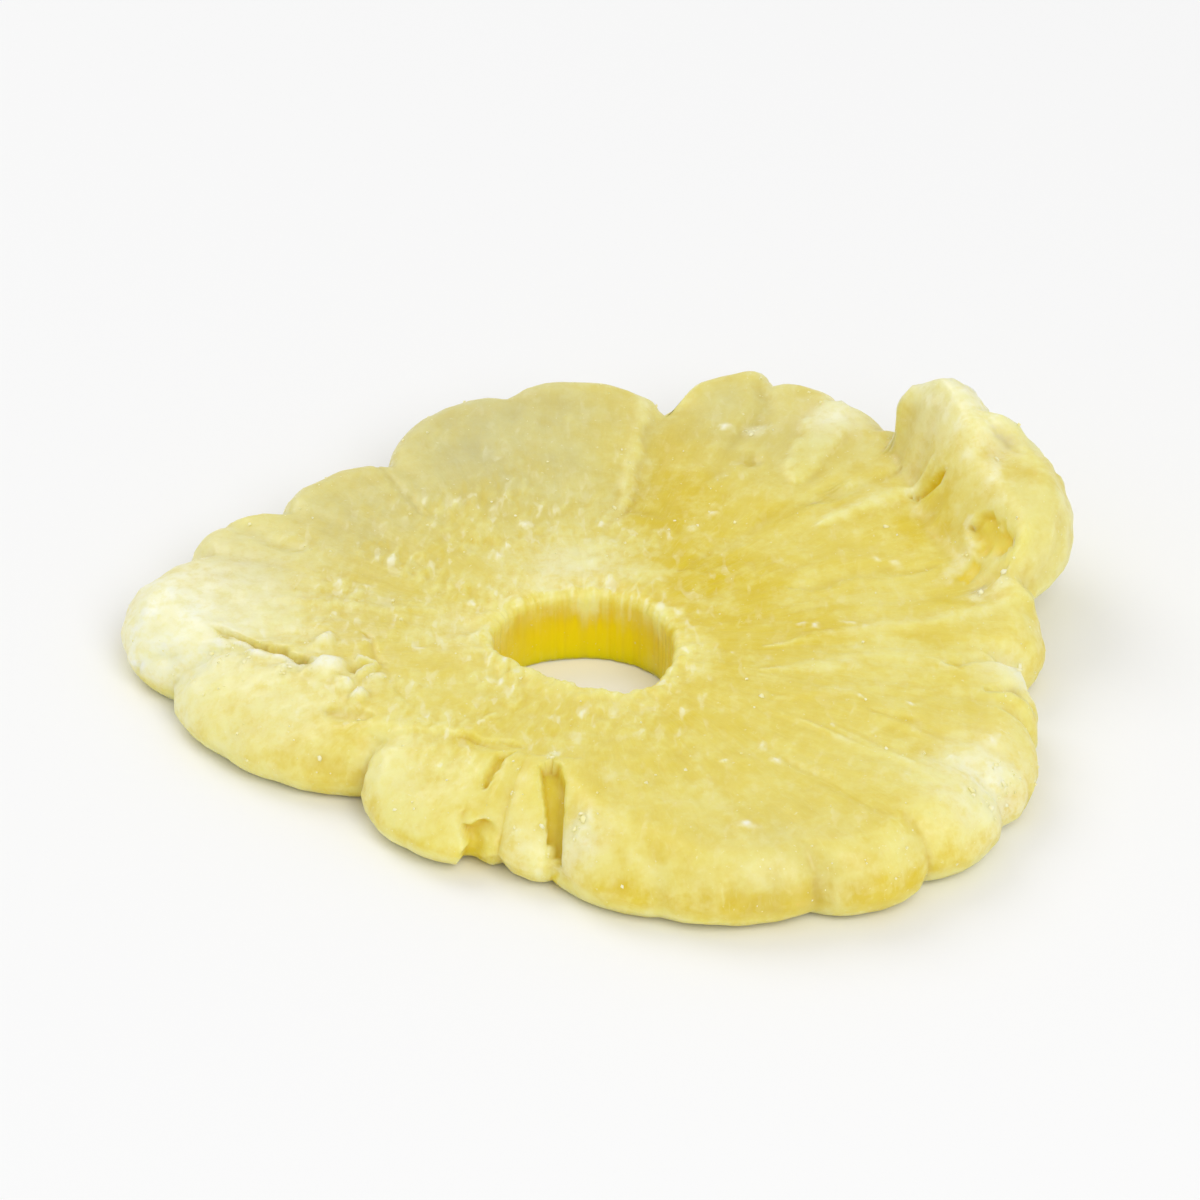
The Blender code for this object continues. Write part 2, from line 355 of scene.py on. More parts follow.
def leaf(x, y, path, half_width):
    """1 in a slot with a flat top and steep sides, widest near its top and pointed at its end."""
    away, share, _ = path_distance(x, y, path)
    ends = smooth_step(0.0, 0.06, share) * (0.72 + 0.28 * smooth_step(0.0, 0.35, share))
    width = half_width * ends * np.sqrt(np.clip(1 - share, 0.0, 1.0) / 0.8) + 1e-3
    return 1 - smooth_step(0.66 * width, width, away)


def ledge(x, y, path, run):
    """1 just past a ledge, fading out over a run, and 1 on its lip. Both are 0 beyond its ends."""
    _, share, past = path_distance(x, y, path)
    ends = np.clip(4 * np.sin(np.pi * share), 0.0, 1.0)
    drop = smooth_step(-0.2, 0.35, past) * (1 - smooth_step(0.25 * run, run, past)) * ends
    return drop, bump(past + 0.6, 0.9) * ends


def spot(x, y, middle_x, middle_y, radius):
    return 1 - smooth_step(0.0, 1.0, np.hypot(x - middle_x, y - middle_y) / radius)


# ---- the flesh

# Furrows between fruitlets: (angle in degrees, depth).
FURROWS = (
    (-1, 0.35), (13, 0.3), (51.5, 0.15), (67, 0.45), (79, 0.3), (101, 0.2),
    (122, 0.25), (141, 0.25), (156, 0.15), (181, 0.3), (218, 0.4), (254, 0.3),
    (264, 0.45), (281, 0.1), (301, 0.12), (330, 0.25), (346, 0.35),
)
FURROW_HALF_WIDTH = 1.7
FURROW_START, FURROW_FULL = 24, 38  # radii
FURROW_WANDER = 0.04  # in radians
# The furrow beside the pit is nearly closed: (x, y, radius), and the share that is filled.
CLOSED_FURROW, CLOSED_SHARE = (35.4, 8.2, 3.6), 0.9
# The flap's left end is a rounded knob, fuller at its waist.
KNOB_ANGLE, KNOB_HALF_WIDTH = math.radians(47.8), math.radians(3.4)
KNOB_START, KNOB_FULL = 38, 42  # radii
KNOB_WAIST, KNOB_WAIST_REACH = 12.4, 3.6  # heights
KNOB_SWELL, KNOB_ROUNDING = 0.9, 0.6
KNOB_TOP, KNOB_TOP_END = 13.0, 15.0  # heights
# Tufts of fibre over the hole's edge: (angle and half width in degrees, length).
HANGING = ((84, 15, 1.6), (120, 16, 0.7), (34, 16, 1.0))
WALL_RADIUS = 9  # streaks on the hole's wall have their true width at this radius

STEPS_AROUND = 600
STEPS_IN_SECTION = 165
UNDERSIDE_WEIGHT = 0.3  # the underside's share of points, against the same length of top
FAN_RADIUS = 30.0  # fibres have their true width at this distance from the hole's middle
FAN_STRETCH = 0.16
# Short strands of fibre lie over the middle of the ring, nearly front to back.
FELT_MIDDLE, FELT_FULL, FELT_END = (-7.0, 3.0), 13, 27
STRAND_TURN = math.radians(-18)
STRAND_STRETCH = 0.42

# Noises that move places, so that no line is straight: (reach, size, seed for x, seed for y).
PATH_WANDER = ((0.55, 2.6, 11, 13), (0.28, 1.1, 12, 14))
RAGGED_WANDER = ((0.7, 2.2, 32, 33), (0.4, 1.0, 34, 35))
TEAR_WANDER = ((0.35, 0.9, 19, 20),)
FOLD_WANDER = ((0.5, 4.0, 17, 18),)
TEAR_RUN = 3.2  # how far the drop beyond the tear lasts


def waves(points, *layers):
    """Sum of noises, given as (reach, size, seed) for each."""
    return sum(reach * noise(points, size, seed) for reach, size, seed in layers)


def moved(x, y, points, layers):
    """Places moved about by noises, given as (reach, size, seed for x, seed for y) for each."""
    for reach, size, seed_x, seed_y in layers:
        x = x + reach * noise(points, size, seed_x)
        y = y + reach * noise(points, size, seed_y)
    return x, y


def strongest(*shares):
    return np.maximum.reduce(shares)


def make_grid():
    """Angle, radius, height, stage and length along the section, as arrays of around x section."""
    angle = np.arange(STEPS_AROUND) / STEPS_AROUND * 2 * np.pi
    fine_radius, fine_height, fine_stage = section_lines(angle)
    weight = np.where(fine_stage >= UNDERSIDE, UNDERSIDE_WEIGHT, 1.0)
    wanted = np.arange(STEPS_IN_SECTION) / STEPS_IN_SECTION
    grids = np.empty((4, STEPS_AROUND, STEPS_IN_SECTION))
    for row in range(STEPS_AROUND):
        radius = np.append(fine_radius[row], fine_radius[row, 0])
        height = np.append(fine_height[row], fine_height[row, 0])
        stage = np.append(fine_stage, UNDERCUT_STAGE + 1)
        length = np.hypot(np.diff(radius), np.diff(height))
        reached = np.concatenate([[0.0], np.cumsum(length * weight)])
        run = np.concatenate([[0.0], np.cumsum(length)])
        at = wanted * reached[-1]
        for grid, values in zip(grids, (radius, height, stage, run)):
            grid[row] = np.interp(at, reached, values)
    radius, height, stage, run = grids
    return np.broadcast_to(angle[:, None], radius.shape), radius, height, stage, run


def grid_normals(points):
    """Outward normals of a grid of points that is closed both ways."""
    around_ring = np.roll(points, -1, 0) - np.roll(points, 1, 0)
    along_section = np.roll(points, -1, 1) - np.roll(points, 1, 1)
    normals = np.cross(around_ring, along_section)
    return normals / (np.linalg.norm(normals, axis=-1, keepdims=True) + 1e-9)


class Surface:
    """Where each vertex is before its relief, and what the layers of relief and colour share."""

    def __init__(self):
        self.angle, self.radius, self.height, self.stage, run = make_grid()
        cosine, sine = np.cos(self.angle), np.sin(self.angle)
        self.x, self.y = self.radius * cosine, self.radius * sine
        self.points = np.stack([self.x, self.y, self.height], -1)
        self.level = self.points * (1, 1, 0)
        self.normal = grid_normals(self.points)
        self.fan = np.stack([cosine * FAN_RADIUS, sine * FAN_RADIUS, run * FAN_STRETCH], -1)
        self.wall = np.stack([cosine * WALL_RADIUS, sine * WALL_RADIUS, 0 * run], -1)
        self.depth = THICKNESS - self.height
        self.flap = flap_lift(self.radius, self.angle)
        self.from_hole = self.radius - hole_at(self.angle)
        self.from_rim = self.radius - reach_at(self.angle)
        self.near_rim = smooth_step(-6.0, -1.0, self.from_rim)
        self.above_hole = self.stage < HOLE_EDGE
        self.on_top = 1 - smooth_step(HOLE_EDGE, HOLE_EDGE + 0.8, self.stage)
        self.on_wall = smooth_step(HOLE_EDGE, HOLE_EDGE + 1, self.stage)
        self.on_wall *= 1 - smooth_step(HOLE_FOOT, HOLE_FOOT + 1, self.stage)
        self.under = smooth_step(HOLE_FOOT + 0.5, UNDERSIDE, self.stage)
        self.under *= 1 - smooth_step(UNDERCUT_STAGE + 0.4, UNDERCUT_STAGE + 1, self.stage)
        self.on_side = 1 - smooth_step(0.3, 0.9, np.abs(self.normal[..., 2]))
        self.wandered = moved(self.x, self.y, self.points, PATH_WANDER)
        self.ragged = moved(self.x, self.y, self.points, RAGGED_WANDER)
        self.crust = np.clip(waves(self.points, (1, 1.7, 45), (0.5, 0.9, 46)) + 0.2, 0, 2)


def furrows(at):
    """Depth of the furrows that run in from the notches between fruitlets, each of its own depth."""
    turned = np.stack([at.radius, 3 * np.cos(at.angle), 3 * np.sin(at.angle)], -1)
    angle = at.angle + FURROW_WANDER * noise(turned, 5.0, 21)
    depth = np.zeros(angle.shape)
    for start, own_depth in FURROWS:
        apart = np.abs(turn_between(angle, math.radians(start))) * at.radius
        run = smooth_step(FURROW_START, FURROW_FULL, at.radius)
        depth = np.maximum(depth, own_depth * bump(apart, FURROW_HALF_WIDTH) * run)
    return depth * (1 - CLOSED_SHARE * spot(at.x, at.y, *CLOSED_FURROW))


def openings(at):
    """Depth of the slots, the cleft and the pit, how open the flesh is there, and the pit's crusted lip."""
    slot = leaf(at.x + 0.12 * noise(at.points, 1.6, 15), at.y, *SLOT[:2])
    small_slot = stroke(*at.wandered, *SMALL_SLOT[:2], flat=0.3, blunt=0.8)
    cleft = leaf(at.x + 0.15 * noise(at.points, 1.6, 16), at.y, *CLEFT[:2])
    pit_parts = [stroke(*at.ragged, path, width, flat=0.45) for path, width, _ in PIT_PARTS]
    pit_depth = strongest(*(share * depth for share, (_, _, depth) in zip(pit_parts, PIT_PARTS)))
    lip = stroke(*at.ragged, PIT_LIP, 0.9, flat=0.2, blunt=0.3) * (1 - strongest(*pit_parts))
    depth = SLOT[2] * slot + SMALL_SLOT[2] * small_slot + CLEFT[2] * cleft + pit_depth * (1 - 0.3 * at.crust)
    return depth, strongest(slot, 0.9 * small_slot, cleft, *pit_parts), lip


def tear(at):
    """The crack on the left: its rise, its wall (where shade is painted), the crusted flesh on its near side
    and its lip.
    """
    x, y = moved(*at.wandered, at.points, TEAR_WANDER)
    drop, lip = ledge(x, y, TEAR, TEAR_RUN)
    _, share, past = path_distance(x, y, TEAR)
    ends = np.clip(4 * np.sin(np.pi * share), 0, 1)
    near = bump(past - 0.9 - 0.3 * at.crust, 1.1) * ends
    width = 0.24 + 0.22 * share
    cut = (1 - smooth_step(0.4 * width, width, np.abs(past - 0.1))) * ends
    wall = smooth_step(-width - 0.2, -0.7 * width, past) * ends * (1 - smooth_step(0.2, 0.4, past))
    rise = 0.1 * lip + 0.5 * near * (0.5 + 0.8 * at.crust) - 0.8 * cut * (0.4 + 0.6 * share) - 0.3 * drop
    return rise, wall * (0.55 + 0.45 * share), near, lip


def torn_end(at):
    """The crack's right end: its rise, then the shares of chunk, hollow, the hollow's rim and deep hole."""
    x, y = at.wandered
    chunk = strongest(*(rise * spot(x, y, *place, radius) for *place, radius, rise in CHUNK))
    hollow = spot(x, y, *HOLLOW_MIDDLE, HOLLOW_RADIUS)
    from_hollow = np.hypot(x - HOLLOW_MIDDLE[0], y - HOLLOW_MIDDLE[1])
    hollow_rim = bump(from_hollow - 1.3, 0.5) * (x > HOLLOW_MIDDLE[0])
    hole = spot(x, y, *CRACK_END)
    rise = chunk * (0.9 + 0.25 * at.crust) + 0.7 * hollow_rim - HOLLOW_DEPTH * hollow - CRACK_END_DEPTH * hole
    return rise, chunk, hollow, hollow_rim, hole


def sugar_lumps(at):
    """Crusted lumps and small bright ones: their rise, and how far each place is one or the other."""
    lumps = [spot(*at.wandered, *place) for *place, _ in CRUSTS]
    height = sum(rise * lump for lump, (*_, rise) in zip(lumps, CRUSTS))
    glint = strongest(*(spot(*at.ragged, x, y, 1.15 * radius) for x, y, radius in GLINTS))
    glint *= np.clip(0.7 + 0.9 * noise(at.points, 0.7, 48), 0, 1)
    return height * (0.6 + 0.6 * at.crust) + 0.22 * glint, strongest(*lumps), glint


def ledges(at):
    """How far the ledges drop, how far their lips stand up, and the crusted strip behind the back one."""
    drop, lip = np.zeros(at.x.shape), np.zeros(at.x.shape)
    for path, fall, lasts, stands in LEDGES:
        below, edge = ledge(*at.wandered, path, lasts)
        drop += fall * below
        lip += stands * edge
    _, _, past = path_distance(*at.ragged, LEDGES[0][0])
    return drop, lip, bump(past + 0.6, 1.6) * (at.y > 18)


def strands(at):
    """Short strands, about -1 to 1, and how thickly the flesh is felted with them."""
    across = at.x * math.cos(STRAND_TURN) + at.y * math.sin(STRAND_TURN)
    along = at.y * math.cos(STRAND_TURN) - at.x * math.sin(STRAND_TURN)
    place = np.stack([across, STRAND_STRETCH * along, 0 * across], -1)
    from_middle = np.hypot(at.x - FELT_MIDDLE[0], at.y - FELT_MIDDLE[1])
    felted = 1 - 0.75 * smooth_step(FELT_FULL, FELT_END, from_middle)
    felted *= np.clip(0.65 + 0.9 * noise(at.level, 5.0, 47), 0.15, 1) * smooth_step(-2.0, -6.0, at.from_rim)
    return waves(place, (1, 0.85, 41), (0.5, 0.5, 42)), felted


def hole_wall(at, strand):
    """How far the hole's wall and edge stand in, how far fibres hang over it, and the streaks down it."""
    streak = 0.5 + waves(at.wall, (0.7, 0.8, 98), (0.4, 0.4, 99))
    hang = 0.4 + 1.3 * np.clip(noise(at.wall, 2.6, 97), 0, 1) + 1.2 * np.clip(streak, 0, 1.2)
    for degrees, width, length in HANGING:
        tuft = bump(turn_between(at.angle, math.radians(degrees)), math.radians(width))
        hang += length * tuft * (0.1 + streak)
    hanging = 1 - smooth_step(hang - 2.0, hang + 1.4, at.depth)
    hanging *= smooth_step(HOLE_EDGE - 0.3, HOLE_EDGE + 0.6, at.stage) * (at.stage < HOLE_FOOT)
    edge = bump(at.from_hole - 1.0, 2.6) * (at.stage < HOLE_WALL)
    inward = 0.10 * noise(at.fan * (1, 1, 0.6), 2.2, 71) * at.on_wall
    inward += hanging * (0.10 + 0.12 * noise(at.fan, 1.3, 72))
    inward += edge * (0.22 * noise(at.points, 1.3, 73) + 0.16 * strand)
    return inward, hanging, streak


def side_gap(at):
    """1 in the gap in the side between the second lobe and the small one."""
    x = at.x + 0.7 * noise(at.points, 1.3, 63) + 0.12 * (RECESS_TOP - at.height)
    top = at.height + 0.6 * noise(at.points, 1.5, 64)
    gap = smooth_step(RECESS_LEFT - 0.3, RECESS_LEFT + 0.4, x)
    gap *= 1 - smooth_step(RECESS_RIGHT - 1.2, RECESS_RIGHT + 0.6, x)
    gap *= 1 - smooth_step(RECESS_TOP - 0.8, RECESS_TOP + 0.4, top)
    return gap * ((at.y < -20) & ((at.stage < FACE) | (at.stage > UNDERSIDE + 0.9)))


def shape_flesh(at):
    """Points of the flesh, in millimetres from the hole's middle, and its masks."""
    furrow = furrows(at)
    opening_depth, opened, pit_lip = openings(at)
    tear_rise, tear_wall, tear_near, tear_lip = tear(at)
    end_rise, chunk, hollow, hollow_rim, crack_end = torn_end(at)
    lump_rise, lump, glint = sugar_lumps(at)
    ledge_drop, ledge_lip, behind_ledge = ledges(at)
    strand, felted = strands(at)
    flake = stroke(*at.ragged, *FLAKE[:2], flat=0.4, blunt=0.45)
    dent = spot(*at.wandered, *DENT)
    grooves = sum(depth * stroke(*at.wandered, path, width) for path, width, depth in GROOVES)
    fold_x, fold_y = moved(at.x, at.y, at.points, FOLD_WANDER)
    folds = sum(height * stroke(fold_x, fold_y, path, width) for path, width, height in FOLDS)

    # The top: broad swells, fibres and strands, then what lies on it and what is cut into it.
    fibres = waves(at.fan, (1, 1.1, 43), (0.6, 0.6, 44)) * smooth_step(10, 22, at.radius)
    sloped = np.clip(around(SHOULDERS, at.angle) / WIDE_SHOULDER, 0.0, 1.0) * (at.radius > 18)
    outer = smooth_step(18, 32, at.radius)
    rise = 0.5 * noise(at.level, 15.0, 51) + 0.2 * noise(at.level, 6.0, 52) * (0.4 + 0.6 * outer)
    rise += 0.05 * fibres + (0.17 * strand * felted + 0.10 * noise(at.level, 2.4, 53)) * at.on_top
    rise += 0.32 * noise(at.fan * (1, 1, 2.0), 5.0, 54) * sloped * at.on_top
    rise += folds + FLAKE[2] * flake + tear_rise + end_rise + lump_rise + ledge_lip
    rise -= grooves + furrow + DENT_DEPTH * dent + ledge_drop + opening_depth
    rise += 0.2 * (at.crust - 0.3) * patches(FROST_PATCHES, at) + 0.16 * pit_lip * (0.3 + at.crust)
    rise += 0.16 * at.crust * at.near_rim * at.on_top * (0.4 + at.flap / 5)
    hole_fade = 0.3 + 0.7 * smooth_step(0.5, 3.5, at.from_hole)
    points = at.points + at.normal * (rise * at.on_top * hole_fade)[..., None]

    # The rim: lumps and small nicks, pushed out and in.
    push = waves(at.points, (0.26, 4.2, 61), (0.13, 1.8, 62), (0.06, 0.9, 65))
    points += at.normal * (push * at.on_side * at.near_rim)[..., None]

    knob = bump(turn_between(at.angle, KNOB_ANGLE), KNOB_HALF_WIDTH) * at.above_hole
    knob *= smooth_step(KNOB_START, KNOB_FULL, at.radius)
    points[..., 0] -= KNOB_SWELL * knob * bump(at.height - KNOB_WAIST, KNOB_WAIST_REACH)
    points[..., 2] -= KNOB_ROUNDING * knob * smooth_step(KNOB_TOP, KNOB_TOP_END, at.height)

    gap = side_gap(at)
    points[..., 1] += RECESS_DEPTH * gap
    inward, hanging, streak = hole_wall(at, strand)
    points += at.normal * inward[..., None]

    # The underside: fibres and shallow furrows, never below the table.
    lift = 0.12 * (1 + noise(at.fan, 1.4, 81)) + 0.12 * (1 + noise(at.points, 4.0, 82)) + 0.5 * furrow
    points[..., 2] += lift * at.under * smooth_step(HOLE_FOOT + 0.6, UNDERSIDE + 0.3, at.stage)
    points[..., 2] = np.maximum(points[..., 2], 0.0)

    brown_rim, brown_crest = spot(at.x, at.y, *BROWN_RIM), spot(*at.ragged, *BROWN_CREST)
    masks = {
        "cut": np.clip(strongest(opened, 0.9 * gap), 0, 1),
        # Painted shade on the crack's far wall and in the hollow.
        "crack_shade": np.clip(strongest(tear_wall, 0.8 * hollow), 0, 1),
        "glint": glint,
        "chunk": np.clip(chunk, 0, 1),
        # Brown paint: painted shade in the crack's deep end, and the flesh's own brown at two groove ends.
        "brown_and_shade": strongest(crack_end, brown_rim, 0.7 * brown_crest),
        "torn": np.clip(tear_near + 0.5 * pit_lip + 0.7 * tear_lip * at.crust + 0.6 * hollow_rim, 0, 1),
        "behind_ledge": behind_ledge,
        "lump": lump,
        "hanging": hanging,
        "streak": np.clip(streak, 0, 1),
        "felted": felted * (1 - at.on_wall),
        "felt": np.clip(1.4 * strand - 0.1, 0, 1) * felted,
        "fold": np.clip(folds / 0.3, 0, 1),
        # Where shade is painted in furrows, grooves and below the ledges.
        "furrow": np.clip(furrow / 0.6 + grooves + ledge_drop * 0.8, 0, 1),
        "lip": np.clip(ledge_lip / 0.2, 0, 1),
        "flake": flake,
        "dent": dent,
    }
    return points, masks


# Patches of deeper colour on the top: (x, y, radius, share at the middle).
# The patch at (-20, -11.5) is painted shade in front of the torn chunk.
DEEP_PATCHES = (
    (16.0, 6.0, 9.0, 0.6), (10.0, 13.0, 7.0, 0.8), (6.2, 23.5, 5.5, 1.5), (8.4, 31.0, 4.0, 0.7),
    (18.0, 22.0, 7.0, 0.5), (26.0, 25.0, 5.0, 0.45), (27.0, 33.0, 6.0, 0.35), (14.0, -4.0, 6.0, 0.35),
    (9.0, -13.0, 6.0, 0.3), (30.0, 19.0, 5.0, 0.5), (-20.0, -11.5, 3.0, 0.6), (-17.0, 12.0, 9.0, 0.15),
)
# Duller and a little grey: painted haze of flare, mostly over the back lobes.
FLARE_PATCHES = (
    (-9.0, 33.0, 14.0, 0.66), (-3.0, 27.0, 10.0, 0.4), (-20.0, 23.0, 12.0, 0.5), (-31.0, 14.0, 10.0, 0.3),
    (-20.0, 8.0, 9.0, 0.15), (14.0, 35.0, 9.0, 0.4), (23.0, 32.0, 8.0, 0.25), (31.0, 29.0, 4.0, 0.3),
    (17.0, -33.0, 7.0, 0.22), (41.0, 14.0, 7.0, 0.15),
)
# Paler and whiter with sugar.
PALE_PATCHES = (
    (-36.0, 4.0, 12.0, 0.95), (-28.0, -6.0, 8.0, 0.7), (-15.0, -19.0, 7.0, 0.7), (-8.0, 33.0, 13.0, 0.35),
    (-30.0, 18.0, 9.0, 0.4), (36.0, 29.0, 5.0, 0.6), (33.0, -22.0, 6.0, 0.9), (38.0, -2.0, 4.0, 0.8),
    (14.0, -30.0, 9.0, 0.1), (27.5, -2.6, 4.5, 0.6), (41.0, 15.0, 7.0, 0.6), (0.0, -27.0, 6.0, 0.25),
    (-12.0, 2.0, 7.0, 0.2), (0.0, 13.0, 7.0, 0.5), (38.0, 18.0, 6.0, 0.35),
)
# White with sugar.
FROST_PATCHES = (
    (-38.0, 5.0, 11.0, 1.15), (-27.0, -6.0, 8.0, 0.4), (-33.0, 11.6, 6.0, 0.55), (34.5, -19.0, 4.5, 1.0),
    (38.0, -2.6, 3.0, 1.0), (34.0, 28.0, 4.0, 0.7), (36.4, 23.0, 3.4, 0.5), (22.6, 35.0, 3.0, 0.8),
    (-0.6, -27.6, 2.3, 0.75), (-5.0, -27.0, 2.4, 0.5), (-17.0, -17.0, 4.0, 0.3), (-2.0, 11.6, 5.0, 0.5),
    (-11.0, 2.0, 4.0, 0.25), (-26.0, 3.0, 7.0, 0.3), (32.0, -23.0, 3.0, 0.6),
)


def patches(table, at):
    """The strongest of a table of round patches that fade out softly."""
    return strongest(*(
        share * np.exp(-((at.x - x) ** 2 + (at.y - y) ** 2) / radius**2) for x, y, radius, share in table
    ))


def paint(at, points, masks):
    """Two sets of shares for each vertex: deep, pale, frosted, strand, and painted shade and flare, painted
    light, brown and shade, felted.
    """
    blotch = 0.5 + 0.5 * rough_noise(points, 7.0, 91)
    fine = 0.5 + 0.5 * rough_noise(points, 2.2, 95)
    # Painted shade: the low part of the side wall, most of all at the front, is painted deeper and less pale.
    low_side_shade = at.on_side * smooth_step(5.2, 3.8, at.height + 0.5 * noise(points, 5.0, 96)) * at.above_hole
    low_side_shade *= 0.35 + 0.65 * smooth_step(-12, -20, at.y)
    hole_edge = bump(at.from_hole - 0.8, 2.4) * (at.depth < 2)
    # The hole's wall is painted deeper and brighter further down, and on its back, which faces the light:
    # painted shade down the hole and painted light shining through the flesh.
    facing = 0.45 + 0.75 * bump(turn_between(at.angle, math.radians(88)), math.radians(80))
    bare_wall = at.on_wall * (1 - masks["hanging"])
    sunk = smooth_step(0.6, 4.4, at.depth)
    # The pit is lit through the thin flesh round it, so it is paler than the other openings.
    in_pit = (at.x > 30) * (at.y < 20)

    deep = strongest(
        patches(DEEP_PATCHES, at) * (0.6 + 0.7 * blotch),
        # Painted shade: furrows, grooves and the drops below ledges are painted deeper.
        0.45 * masks["furrow"],
        0.68 * low_side_shade,
        # Painted shade: the openings are painted deeper.
        (0.75 - 0.65 * in_pit) * masks["cut"],
        # Painted shade in the crack.
        0.85 * masks["crack_shade"],
        # Painted shade: the dent is painted deeper.
        0.9 * masks["dent"],
        bare_wall * facing * (0.05 + sunk) * (1.1 - 0.3 * masks["streak"]),
    )
    wall_painted_light = bare_wall * facing * (0.3 + 0.7 * sunk) * (1.1 - 0.4 * masks["streak"])
    # Painted light: the openings are painted brighter, as if lit through the thin flesh.
    painted_light = strongest(wall_painted_light, 0.5 * masks["cut"])
    # Painted flare haze, and painted shade in the crack and the front-left openings.
    shade_and_flare = strongest(
        patches(FLARE_PATCHES, at) * (0.7 + 0.6 * blotch),
        0.4 * masks["crack_shade"],
        # Painted shade: the openings on the front left are painted duller.
        0.3 * masks["cut"] * (at.x < 10),
    )
    shade_and_flare *= at.above_hole

    pale = strongest(
        # Painted light: paler towards the rim, as if the thin edge were lit through.
        0.3 * at.near_rim * (0.6 + 0.6 * blotch),
        patches(PALE_PATCHES, at) * (0.65 + 0.6 * blotch),
        0.9 * masks["hanging"],
        0.5 * hole_edge * (0.1 + fine),
        0.75 * masks["fold"],
        0.5 * masks["lip"],
        0.85 * masks["flake"] * smooth_step(22, 33, at.y),
        np.clip(at.flap / 6, 0, 1) * (0.22 + 0.5 * smooth_step(16, 24, at.y)),
        0.9 * masks["lump"],
    )
    pale = np.clip(pale, 0, 1) * (1 - (0.9 - 0.4 * in_pit) * masks["cut"]) * (1 - 0.8 * masks["crack_shade"])
    pale *= (1 - 0.7 * low_side_shade) * (1 - 0.8 * bare_wall)

    frost = strongest(
        masks["torn"] * (0.55 + 0.5 * at.crust),
        0.2 * masks["behind_ledge"] * (0.3 + at.crust),
        patches(FROST_PATCHES, at) * (0.4 + 0.7 * fine) * at.above_hole,
        0.35 * masks["fold"] * at.crust,
        # Painted highlights on the small bright lumps.
        masks["glint"],
        0.9 * masks["chunk"],
        0.85 * masks["lump"] * (0.5 + 0.6 * at.crust),
        0.25 * at.near_rim * at.crust * fine,
        0.75 * np.clip((at.flap - 4) / 3, 0, 1) * (at.x < 37) * (0.4 + at.crust),
        0.8 * hole_edge * (at.y > 0) * masks["felt"],
    )
    frost = np.clip(frost, 0, 1) * (1 - masks["cut"]) * (1 - 0.9 * masks["crack_shade"])
    felt = np.clip(masks["felt"] + 0.3 * hole_edge * fine, 0, 1) * (1 - at.on_wall)
    tint = np.stack([np.clip(deep, 0, 1.2), pale, frost, felt], -1)
    return tint, np.stack([shade_and_flare, np.clip(painted_light, 0, 1), 0.45 * masks["brown_and_shade"], masks["felted"]], -1)


def grid_faces(rows, columns):
    """Quads of a grid that is closed both ways, facing out."""
    index = np.arange(rows * columns).reshape(rows, columns)
    right, up = np.roll(index, -1, 0), np.roll(index, -1, 1)
    return np.stack([index, right, np.roll(right, -1, 1), up], -1).reshape(-1, 4)


def add_object(name, data):
    thing = bpy.data.objects.new(name, data)
    bpy.context.scene.collection.objects.link(thing)
    return thing


def add_piece(name, places, faces, offset):
    """A mesh object, from places in millimetres from the hole's middle."""
    mesh = bpy.data.meshes.new(name)
    mesh.from_pydata(((places - offset) * MM).reshape(-1, 3), [], faces)
    return add_object(name, mesh)


def make_flesh(at, points, masks, offset):
    flesh = add_piece("flesh", points, grid_faces(STEPS_AROUND, STEPS_IN_SECTION), offset)
    for name, shares in zip(("tint", "tone"), paint(at, points, masks)):
        flesh.data.attributes.new(name, "FLOAT_COLOR", "POINT").data.foreach_set("color", shares.ravel())
    flesh.data.attributes.new("fan", "FLOAT_VECTOR", "POINT").data.foreach_set("vector", at.fan.ravel())
    flesh.data.shade_smooth()
    return flesh


# ---- sugar

def random_turns(count, random):
    """Rotation matrices in every direction."""
    q = random.normal(size=(count, 4))
    w, x, y, z = (q / np.linalg.norm(q, axis=1, keepdims=True)).T
    rows = (
        (1 - 2 * (y * y + z * z), 2 * (x * y - z * w), 2 * (x * z + y * w)),
        (2 * (x * y + z * w), 1 - 2 * (x * x + z * z), 2 * (y * z - x * w)),
        (2 * (x * z - y * w), 2 * (y * z + x * w), 1 - 2 * (x * x + y * y)),
    )
    return np.moveaxis(np.array(rows), -1, 0)


SUGAR_SEED = 5
CRYSTAL_COUNT, CRYSTAL_SMALLEST, CRYSTAL_SPREAD = 420, 0.08, 0.20
CRUMB_COUNT, CRUMB_SMALLEST, CRUMB_SPREAD = 70, 0.3, 0.5
CRUMB_FLATNESS = (0.25, 0.5)
LOWEST = 0.02  # sugar stays this far above the table
CRYSTAL_CORNERS = np.array(list(itertools.product((-0.5, 0.5), repeat=3)))
CRYSTAL_FACES = np.array([(0, 1, 3, 2), (4, 6, 7, 5), (0, 4, 5, 1), (2, 3, 7, 6), (0, 2, 6, 4), (1, 5, 7, 3)])


def make_crystals(places, normals, random, offset):
    """Small uneven blocks, half sunk in the flesh, joined into one mesh."""
    count = len(places)
    sizes = CRYSTAL_SMALLEST + CRYSTAL_SPREAD * random.random(count) ** 2.5
    corners = CRYSTAL_CORNERS * random.uniform(0.6, 1.0, (count, 1, 3))
    corners = corners + random.uniform(-0.12, 0.12, corners.shape)
    corners = np.einsum("nij,nkj->nki", random_turns(count, random), corners) * sizes[:, None, None]
    verts = corners + (places + normals * (0.05 * sizes[:, None]))[:, None, :]
    verts[..., 2] = np.maximum(verts[..., 2], LOWEST)
    faces = CRYSTAL_FACES + 8 * np.arange(count)[:, None, None]
    return add_piece("sugar_crystals", verts, faces.reshape(-1, 4), offset)


def crumb_shape(random):
    """A lumpy crumb about 1 across: its points and triangles."""
    shape = bmesh.new()
    bmesh.ops.create_icosphere(shape, subdivisions=2, radius=0.5)
    places = np.array([vertex.co[:] for vertex in shape.verts])
    faces = np.array([[vertex.index for vertex in face.verts] for face in shape.faces])
    shape.free()
    seed = int(random.integers(1000))
    swell = 1 + 0.5 * noise(places, 0.5, seed) + 0.28 * noise(places, 0.25, seed + 1)
    return places * swell[:, None], faces


